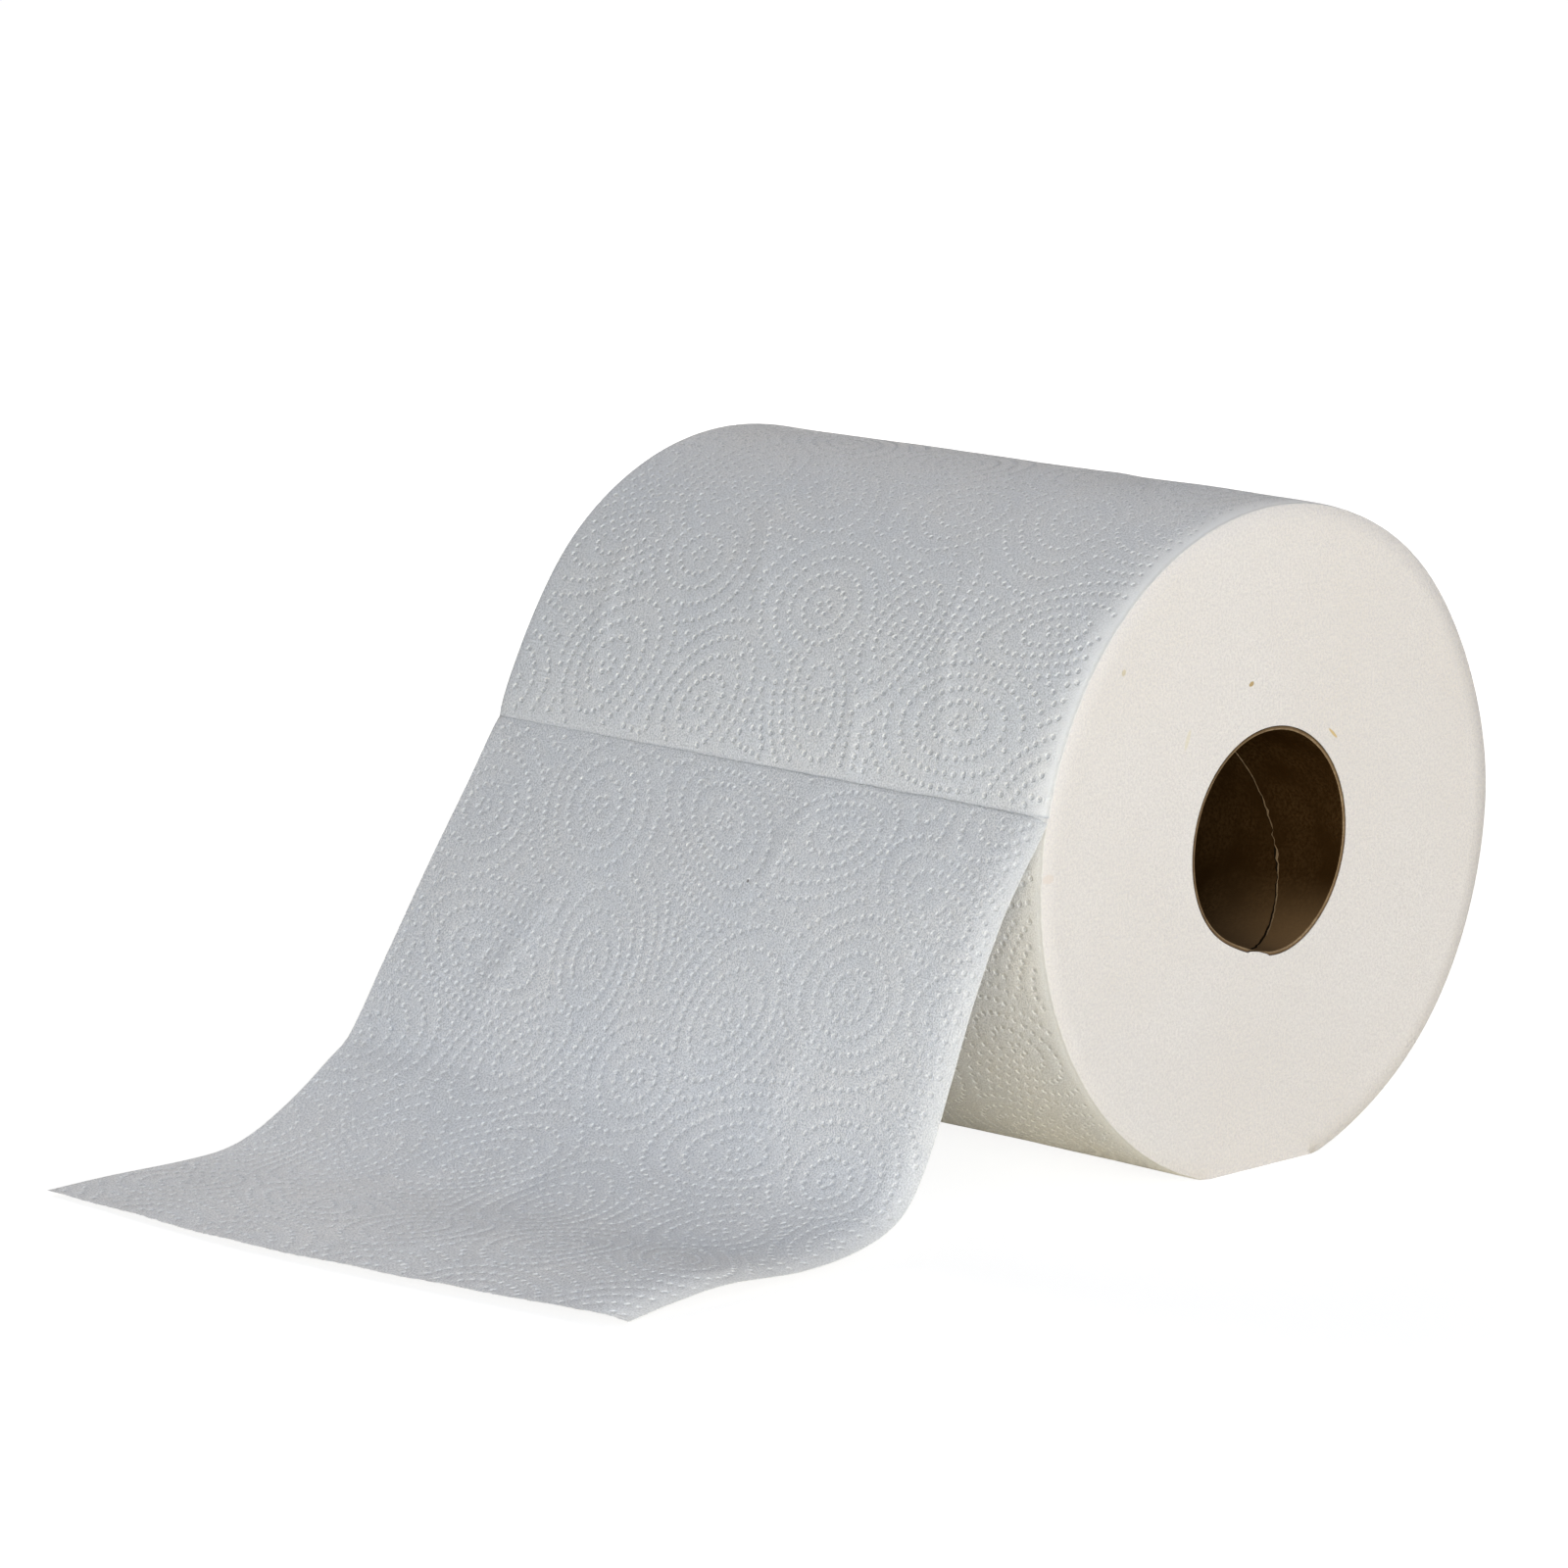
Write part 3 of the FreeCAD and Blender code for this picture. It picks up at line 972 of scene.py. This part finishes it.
# %% Board in the tube: its wall and its rim
PLY = "ply"
LIT_MOUTH_LOW = (-12 * MM, -38 * MM)
LIT_MOUTH_IN = 42 * MM
PLY_DRIFT = 0.5
PLY_BLOTCHES = 260.0
BROWN_PLIES = (0.5, 0.7)
GAP_SHADE_PAINTED = (0.95, 1.15)


def shaded_board_wall():
    """The tube's inner wall: brown board painted far darker as shade in the deep bore, with
    painted light low in the mouth.
    """
    # painted shade: the wall's board colours are far darker than brown board, for the shade in the
    # deep bore
    darkest, lightest = paint(0.030, 0.014, 0.004), paint(0.060, 0.032, 0.012)
    material, tree, shader, bare = board("shaded_board_wall", darkest, lightest)
    axes = add(tree, "ShaderNodeSeparateXYZ", {0: object_place(tree)}).outputs
    # painted light: the board turns lighter low in the mouth, where light from outside reaches the
    # wall
    low = ramp(tree, axes["Z"], *LIT_MOUTH_LOW, smooth=True)
    mouth = ramp(tree, axes["Y"], LIT_MOUTH_IN - HALF_WIDTH, -HALF_WIDTH)
    painted_light_at_mouth = calculated(tree, "MULTIPLY", low, mouth)
    feed(tree, shader.inputs["Base Color"], mixed(tree, painted_light_at_mouth, bare, paint(0.285, 0.175, 0.083)))
    return material


def board_rim():
    """The sawn edge of the board: a pale inner ply, brown ones, and painted shade in the gap at
    the tissue.
    """
    darkest, lightest = paint(0.20, 0.135, 0.075), paint(0.34, 0.25, 0.155)
    material, tree, shader, pale = board("board_rim", darkest, lightest)
    across = add(tree, "ShaderNodeAttribute", attribute_name=PLY).outputs["Fac"]
    drift = mottled(tree, object_place(tree), PLY_BLOTCHES)
    ply = calculated(tree, "MULTIPLY_ADD", drift, PLY_DRIFT, across)
    browned = mixed(tree, ramp(tree, ply, *BROWN_PLIES), pale, paint(0.13, 0.085, 0.048))
    # painted shade in the thin gap between the tube and the tissue
    parted = mixed(tree, ramp(tree, ply, *GAP_SHADE_PAINTED), browned, paint(0.035, 0.024, 0.015))
    feed(tree, shader.inputs["Base Color"], parted)
    return material


wall_material = shaded_board_wall()
rim_material = board_rim()
print("materials:", [m.name for m in bpy.data.materials])

# %% [markdown]
# ## The wound turns
# What is still missing is the roll's body: its two sawn ends and the hole that the tube fills.
# The outer turn is opened as a bmesh, its long borders are drawn in towards the axis ring by
# ring with an extrude and a move, and the last rings of both ends are bridged to line the hole.
# A sawn end isn't a perfect plane, so each ring is nudged a little along the axis. The near rim
# of the hole was knocked in at the bottom, where the tissue also bulges into a nick in the tube.

# %% The knocked rim of the hole
PUSH_ANGLE = math.radians(-110)
PUSH_WIDTH = math.radians(26)
PUSH_DEPTH = 2.0 * MM
PUSH_REACH = 18 * MM
NICK_ANGLE = math.radians(-97)
NICK_WIDTH = math.radians(8.5)
NICK_BLUNTNESS = 0.4


def scaled(co, share):
    """A point moved straight towards the axis, or away from it."""
    return Vector((co.x * share, co.y, co.z * share))


def pushed_in(co):
    """The hole's near rim was knocked in at the bottom: tube and tissue moved to the axis."""
    knocked = bell(math.atan2(co.z, co.x) - PUSH_ANGLE, PUSH_WIDTH)
    knocked *= bell(co.y + HALF_WIDTH, PUSH_REACH)
    return scaled(co, 1 - PUSH_DEPTH * knocked / math.hypot(co.x, co.z))


def nick_share(co):
    """How deep in the nick of the tube's rim a point round the hole stands, from 0 to 1."""
    away = abs(math.atan2(co.z, co.x) - NICK_ANGLE)
    return (1 - rise(away, NICK_WIDTH)) ** NICK_BLUNTNESS


# %% Draw an end in to the hole
END_RINGS = 11
END_UNEVEN = 0.22 * MM
END_PATCHES = 2.1
END_LEVEL = 0.3
END_APART = 4.0
RIM_SLACK = 0.5 * MM
LINING_STEPS = 9
LINING_STEP = 5 * MM


def extruded(bm, edges):
    """Extrudes a ring of edges where it stands, and gives back the new edges and vertices."""
    made = bmesh.ops.extrude_edge_only(bm, edges=edges)["geom"]
    new_edges = [g for g in made if isinstance(g, bmesh.types.BMEdge)]
    return new_edges, [g for g in made if isinstance(g, bmesh.types.BMVert)]


def border_edges(bm, test):
    """The border edges whose two ends pass a test."""
    return [e for e in bm.edges if e.is_boundary and test(e.verts[0].co, e.verts[1].co)]


def draw_in(bm, end):
    """Closes one sawn end, from the rim to the hole, and gives back the ring round the hole."""
    rim_y = HALF_WIDTH - RIM_SLACK
    edges = border_edges(bm, lambda here, there: min(end * here.y, end * there.y) > rim_y)
    for ring in range(1, END_RINGS + 1):
        edges, verts = extruded(bm, edges)
        narrower = (END_RINGS - ring) / (END_RINGS - ring + 1)
        for vert in verts:
            radius = math.hypot(vert.co.x, vert.co.z)
            outward = Vector((vert.co.x / radius, 0, vert.co.z / radius))
            patch = noise.noise(outward * END_PATCHES + Vector((ring, end * END_APART, 0)))
            sunk = min(0.0, END_UNEVEN * (patch - END_LEVEL)) if ring < END_RINGS else 0.0
            vert.co = outward * (CORE_R + (radius - CORE_R) * narrower)
            vert.co.y = end * (HALF_WIDTH + sunk)
    return edges


def line_hole(bm, edges):
    """Lines the near stretch of the hole, closely enough to follow the knock."""
    for _ in range(LINING_STEPS):
        edges, verts = extruded(bm, edges)
        bmesh.ops.translate(bm, verts=verts, vec=(0, LINING_STEP, 0))
    return edges


# %% Finish a piece
def finished(name, bm, smooth_below, materials, body_node):
    """Makes a piece of the object from a bmesh, smooth except over its sharp edges."""
    mesh = bpy.data.meshes.new(name)
    bm.to_mesh(mesh)
    bm.free()
    mesh.shade_smooth()
    mesh.set_sharp_from_angle(angle=math.radians(smooth_below))
    for material in materials:
        mesh.materials.append(material)
    piece = bpy.data.objects.new(name, mesh)
    bpy.context.scene.collection.objects.link(piece)
    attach(piece, "root")
    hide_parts(body_node)
    mesh.calc_loop_triangles()
    print(name, "has", len(mesh.loop_triangles), "triangles")
    return piece


def open_edges(bm):
    """How many edges still lie on a border: none, once a piece is closed."""
    return sum(e.is_boundary for e in bm.edges)


# %% Close the roll
TISSUE_BULGE = 0.95 * MM
BULGE_REACH = 4 * MM
LINING_BELOW = 1.2 * CORE_R
SAWN = 0.9

bm = bmesh.new()
bm.from_mesh(outer_turn)
# The end of the turn lies just under its start: one row of faces closes the step between them.
step = border_edges(bm, lambda here, there: abs(here.y - there.y) > 3 * CLOSE)
bmesh.ops.bridge_loops(bm, edges=step)
holes = line_hole(bm, draw_in(bm, -1)) + draw_in(bm, 1)
bmesh.ops.bridge_loops(bm, edges=holes)
for vert in bm.verts:
    if math.hypot(vert.co.x, vert.co.z) < CORE_R + CLOSE:
        bulge = TISSUE_BULGE * nick_share(vert.co)
        bulge *= math.exp(-(vert.co.y + HALF_WIDTH) / BULGE_REACH)
        vert.co = pushed_in(scaled(vert.co, 1 - bulge / CORE_R))
bmesh.ops.recalc_face_normals(bm, faces=bm.faces)
for face in bm.faces:
    middle = face.calc_center_median()
    lining = math.hypot(middle.x, middle.z) < LINING_BELOW
    face.material_index = 1 if lining or abs(face.normal.y) > SAWN else 0
print("open edges left in the wound turns:", open_edges(bm))
wound_turns = finished("wound_turns", bm, 55, (face_material, ends_material), "paper_web")

# %% [markdown]
# ## The loose sheet
# It is one layer of the same web, so its face is already laid out. Its back is the same stretch
# of strip a thickness lower, where the pressed dots stand proud instead. The two are bridged
# along their borders, which gives the cut edges and the torn end their real thickness.

# %% The sheet's face and its back
BACK_BUMP = 0.20 * MM
EDGE_SHARE = 0.35
THINNED = 2.5 * MM
FRAY = 0.55 * MM
FRAY_GAP = 1.7 * MM
FRAY_MIDDLE = 0.2


def frayed(u, v):
    """The torn end is a little ragged."""
    if u > -SHEET_LENGTH + CLOSE:
        return u
    return u - FRAY * (FRAY_MIDDLE + noise.noise(Vector((v / FRAY_GAP, 2.2, 0))))


def sheet_relief(u, v):
    """The strip's wrinkles, held down at the torn line as they are on the roll, then free."""
    return (HELD_RELIEF + (1 - HELD_RELIEF) * rise(-u, RELIEF_REACH)) * relief(u, v)


def face_place(u, v, height):
    """A vertex of the sheet's face, with its dots pressed in and its groove at the roll."""
    return on_sheet(frayed(u, v), v, sheet_relief(u, v) + tear_groove(u, v), -height)


def back_place(u, v, height):
    """A vertex of the sheet's back: thinner at the borders, and proud where a dot is pressed."""
    raised = height * BACK_BUMP / DOT_DEPTH
    inside = min(HALF_WIDTH - abs(v), u + SHEET_LENGTH, -u)
    thickness = SHEET_THICKNESS * (EDGE_SHARE + (1 - EDGE_SHARE) * rise(inside, THINNED))
    return on_sheet(frayed(u, v), v, sheet_relief(u, v), thickness - raised)


back_spots = web_spots(-SHEET_LENGTH, 0.0, SHELLS_ROLL, DOT_DEPTH, CUT_ROWS)
sheet_back = web_mesh("sheet_back", back_spots, back_place, -1)
sheet_face = web_mesh("sheet_face", sheet_spots, face_place, 1)
print(len(sheet_face.polygons), "triangles in front and", len(sheet_back.polygons), "behind")

# %% Join them at the edges
bm = bmesh.new()
bm.from_mesh(sheet_face)
bm.from_mesh(sheet_back)
bmesh.ops.bridge_loops(bm, edges=[e for e in bm.edges if e.is_boundary])
bmesh.ops.recalc_face_normals(bm, faces=bm.faces)
print("open edges left in the sheet:", open_edges(bm))
loose_sheet = finished("loose_sheet", bm, 55, (sheet_material,), "paper_web")

# %% [markdown]
# ## The tube
# The tube is wound from strips of brown board, so a seam runs round its inner wall like a screw
# thread. A section of the wall spun round the axis makes the tube. The seam is another spin, but
# with a step along the axis, which is how a spin draws a helix: a pale band for the raised edge
# of the strip, and a near-black one of painted shade for the gap beside it, which opens towards
# the near end. There the strip has torn a little, and the rim is nicked and pushed in.

# %% Spin the wall
WALL_STEPS = 240
WALL_CUTS = 48
RIM_ROUND = 0.22 * MM
NICK_DEPTH = 1.6 * MM
NICK_REACH = 3 * MM
NICK_THINNED = 1.0 * MM
THINNED_REACH = 5 * MM
NICK_FRAY = (22, 400)
NICK_MIDDLE = 0.7
NICK_ROUGHNESS = 0.9
RIM_FACING = 0.3


def wall_share(co):
    """How far through the wall a point is: 0 at the bore and 1 at the tissue."""
    return (math.hypot(co.x, co.z) - BORE_R) / (CORE_R - BORE_R)


def closed_ring(bm, corners):
    """Vertices at the corners and edges between them, round and back to the first."""
    verts = [bm.verts.new(corner) for corner in corners]
    return verts, [bm.edges.new(pair) for pair in zip(verts, verts[1:] + verts[:1])]


def nicked(co):
    """Moves a point of the wall for the nick and the pushed-in rim near the seam's end."""
    angle = math.atan2(co.z, co.x)
    depth = co.y + HALF_WIDTH
    fray = Vector((angle * NICK_FRAY[0], depth * NICK_FRAY[1], 1.0))
    rough = NICK_MIDDLE + NICK_ROUGHNESS * noise.noise(fray)
    nick = nick_share(co)
    moved = pushed_in(co)
    torn_off = NICK_THINNED * nick * max(0.0, wall_share(co)) * math.exp(-depth / THINNED_REACH)
    moved = scaled(moved, 1 - torn_off / math.hypot(moved.x, moved.z))
    moved.y += NICK_DEPTH * nick * rough * math.exp(-depth / NICK_REACH)
    return moved


half_section = [
    (CORE_R, HALF_WIDTH - RIM_ROUND), (CORE_R - RIM_ROUND, HALF_WIDTH),
    (BORE_R + RIM_ROUND, HALF_WIDTH), (BORE_R, HALF_WIDTH - RIM_ROUND),
]
near_half = [(radius, -y) for radius, y in reversed(half_section)]
bm = bmesh.new()
_, section = closed_ring(bm, [(radius, y, 0) for radius, y in near_half + half_section])
long_edges = [e for e in section if e.calc_length() > HALF_WIDTH]
bmesh.ops.subdivide_edges(bm, edges=long_edges, cuts=WALL_CUTS)
bmesh.ops.spin(bm, geom=list(bm.verts) + list(bm.edges), cent=(0, 0, 0), axis=(0, 1, 0),
               angle=2 * math.pi, steps=WALL_STEPS, use_merge=True)
ply = bm.verts.layers.float.new(PLY)
for vert in bm.verts:
    vert[ply] = wall_share(vert.co)
    vert.co = nicked(vert.co)
bmesh.ops.recalc_face_normals(bm, faces=bm.faces)
for face in bm.faces:
    face.material_index = 1 if abs(face.normal.y) > RIM_FACING else 0
print("open edges left in the tube wall:", open_edges(bm))

# %% A band wound on the wall
SEAM_START = math.radians(-108.4)
SEAM_PITCH = 83.5 * MM
SEAM_INSET = 0.3 * MM
SEAM_TURNS = 2 * (HALF_WIDTH - SEAM_INSET) / SEAM_PITCH
SEAM_STEPS = 360
SUNK_IN_WALL = 0.05 * MM


def screwed(bm, low, width, height):
    """A thin band wound like a screw thread on the inner wall, from the near end to the far."""
    start = Matrix.Rotation(-SEAM_START, 3, "Y")
    outer, inner = BORE_R + SUNK_IN_WALL, BORE_R - height
    corners = [(outer, low), (inner, low), (inner, low + width), (outer, low + width)]
    verts, edges = closed_ring(bm, [start @ Vector((radius, y, 0)) for radius, y in corners])
    before = set(bm.faces)
    bmesh.ops.spin(bm, geom=verts + edges, cent=(0, 0, 0), axis=(0, -1, 0),
                   dvec=(0, SEAM_TURNS * SEAM_PITCH / SEAM_STEPS, 0),
                   angle=2 * math.pi * SEAM_TURNS, steps=SEAM_STEPS)
    return [face for face in bm.faces if face not in before]


# %% Wind the seam
GAPE_REACH = 19 * MM
PALE_REACH = 17 * MM
PALE_SUNK = 1.6
TORN_MIDDLE = 23 * MM
TORN_REACH = 6 * MM
JAG_FINENESS = 900
JAG = 0.12 * MM
JAG_AT_GAPE = 0.5 * MM
JAG_AT_TORN = 1.1 * MM


def seam_band(bm, offset, width, height, material, gape):
    """A jagged band of the seam: near the mouth it gapes, or with no gape sinks into the wall."""
    low = -HALF_WIDTH + SEAM_INSET + offset
    faces = screwed(bm, low, width, height)
    for vert in {v for face in faces for v in face.verts}:
        inward = vert.co.y + HALF_WIDTH
        turn = (math.atan2(vert.co.z, vert.co.x) - SEAM_START) / (2 * math.pi)
        across = (vert.co.y - low - turn * SEAM_PITCH) % SEAM_PITCH
        gaping = 1 - rise(inward, GAPE_REACH) if gape else 0.0
        widened = gape * gaping if width / 2 < across < SEAM_PITCH / 2 else 0.0
        jag = JAG + JAG_AT_GAPE * gaping + JAG_AT_TORN * bell(inward - TORN_MIDDLE, TORN_REACH)
        jagged = vert.co.y + jag * noise.noise(vert.co * JAG_FINENESS)
        vert.co.y = max(CLOSE - HALF_WIDTH, jagged + widened)
        fading = 1 - rise(vert.co.y + HALF_WIDTH, PALE_REACH)
        sunk = 0.0 if gape else PALE_SUNK * height * fading ** 0.5
        vert.co = pushed_in(scaled(vert.co, 1 + sunk / BORE_R))
    for face in faces:
        face.material_index = material


seam_band(bm, offset=0.0, width=0.35 * MM, height=0.10 * MM, material=1, gape=0.0)
seam_band(bm, offset=0.40 * MM, width=0.30 * MM, height=0.03 * MM, material=2, gape=0.8 * MM)
bmesh.ops.holes_fill(bm, edges=[e for e in bm.edges if e.is_boundary], sides=4)
bmesh.ops.recalc_face_normals(bm, faces=bm.faces)
print("open edges left in the tube:", open_edges(bm))
board_materials = (wall_material, rim_material, gap_shade_material)
finished("core_tube", bm, 40, board_materials, "cardboard_core")

# %% [markdown]
# ## Table, backdrop and light
# The roll lies on a white table in a white room, lit by large soft lamps that all face it. Two
# stand by the camera, one broad and cool and one low and warm, and a weak blue one, low on the
# left, skims over the sheet. Two more on the right fall on the sawn end, one of them from above,
# and the last stands behind, so that the back of the roll isn't dark. The table is white to the
# camera by its own glow, and what the lamps add or the roll's shadow takes away still shows.

# %% White to the camera
def seen_directly(tree):
    """1 for what the camera sees, by itself or in a mirror or through glass, and 0 for light."""
    rays = add(tree, "ShaderNodeLightPath").outputs
    seen = calculated(tree, "MAXIMUM", rays["Is Camera Ray"], rays["Is Glossy Ray"])
    return calculated(tree, "MAXIMUM", seen, rays["Is Transmission Ray"])


# %% The table
TABLE_REACH = 12.0
TABLE_GAP = 0.05 * MM
NEAR_GLOW = 0.86
CLEAR_FROM = 0.35
CLEAR_BY = 1.1


def white_table():
    """White to the camera, with the object's shadow kept, and warm where it throws light back."""
    material = bpy.data.materials.new("white_table")
    tree = emptied(material)
    seen = seen_directly(tree)
    away = add(tree, "ShaderNodeVectorMath", {0: object_place(tree)}, operation="LENGTH")
    clear = ramp(tree, away.outputs["Value"], CLEAR_FROM, CLEAR_BY, NEAR_GLOW, 1.0)
    strength = calculated(tree, "MULTIPLY", seen, clear)
    glow = add(tree, "ShaderNodeEmission", {"Color": paint(1, 1, 1), "Strength": strength})
    lit_colour = mixed(tree, seen, paint(1.0, 0.90, 0.67), paint(0.34, 0.34, 0.34))
    lit = add(tree, "ShaderNodeBsdfDiffuse", {"Color": lit_colour})
    both = add(tree, "ShaderNodeAddShader", {0: glow.outputs[0], 1: lit.outputs[0]})
    add(tree, "ShaderNodeOutputMaterial", {"Surface": both.outputs[0]})
    return material


bm = bmesh.new()
bmesh.ops.create_grid(bm, x_segments=1, y_segments=1, size=TABLE_REACH)
bmesh.ops.translate(bm, verts=bm.verts, vec=(0, 0, FLOOR_Z - TABLE_GAP))
table_mesh = bpy.data.meshes.new("table")
bm.to_mesh(table_mesh)
bm.free()
table = bpy.data.objects.new("table", table_mesh)
table_mesh.materials.append(white_table())
bpy.context.scene.collection.objects.link(table)
print("the table is", 2 * TABLE_REACH, "m wide")

# %% The room's own light
ROOM_LIGHT = 0.03
ROOM_TINT = paint(0.6, 0.8, 1.0)

world = bpy.data.worlds.new("white_room")
bpy.context.scene.world = world
tree = emptied(world)
seen = seen_directly(tree)
backdrop = add(tree, "ShaderNodeBackground", {
    "Color": mixed(tree, seen, ROOM_TINT, paint(1, 1, 1)),
    "Strength": ramp(tree, seen, 0.0, 1.0, ROOM_LIGHT, 1.0),
})
add(tree, "ShaderNodeOutputWorld", {"Surface": backdrop.outputs[0]})
print("the room is white to the camera, and a dim even light on everything else")

# %% Soft lamps
LAMP_DISTANCE = 1.9
LAMPS = (  # name, azimuth and elevation in degrees, width, height, watts, colour
    ("front", -30, 5, 1.3, 1.3, 23.4, (0.78, 0.87, 1.0)),
    ("low_front", -48, 3, 1.3, 0.3, 18.0, (1.0, 0.915, 0.72)),
    ("low_left", -95, 3, 1.3, 0.3, 5.2, (0.27, 0.52, 1.0)),
    ("right", 5, 8, 0.7, 0.7, 4.0, (1.0, 1.0, 1.0)),
    ("high_right", 10, 40, 1.3, 1.3, 7.6, (0.95, 0.95, 1.0)),
    ("behind", 150, 30, 1.3, 1.3, 27.5, (1.0, 0.94, 0.87)),
)

for name, azimuth, elevation, width, height, watts, colour in LAMPS:
    lamp = bpy.data.lights.new(name, "AREA")
    lamp.shape = "RECTANGLE"
    lamp.size = width
    lamp.size_y = height
    lamp.energy = watts
    lamp.color = colour
    towards = direction(math.radians(azimuth), math.radians(elevation))
    holder = bpy.data.objects.new(name, lamp)
    holder.location = towards * LAMP_DISTANCE
    holder.rotation_euler = towards.to_track_quat("Z", "Y").to_euler()
    bpy.context.scene.collection.objects.link(holder)
bpy.context.scene.view_settings.view_transform = "Standard"
print(len(LAMPS), "lamps of", sum(lamp[5] for lamp in LAMPS), "W in all")

# %% [markdown]
# ## The last step
# The view layer is brought up to date.

# %% Finish
bpy.context.view_layer.update()
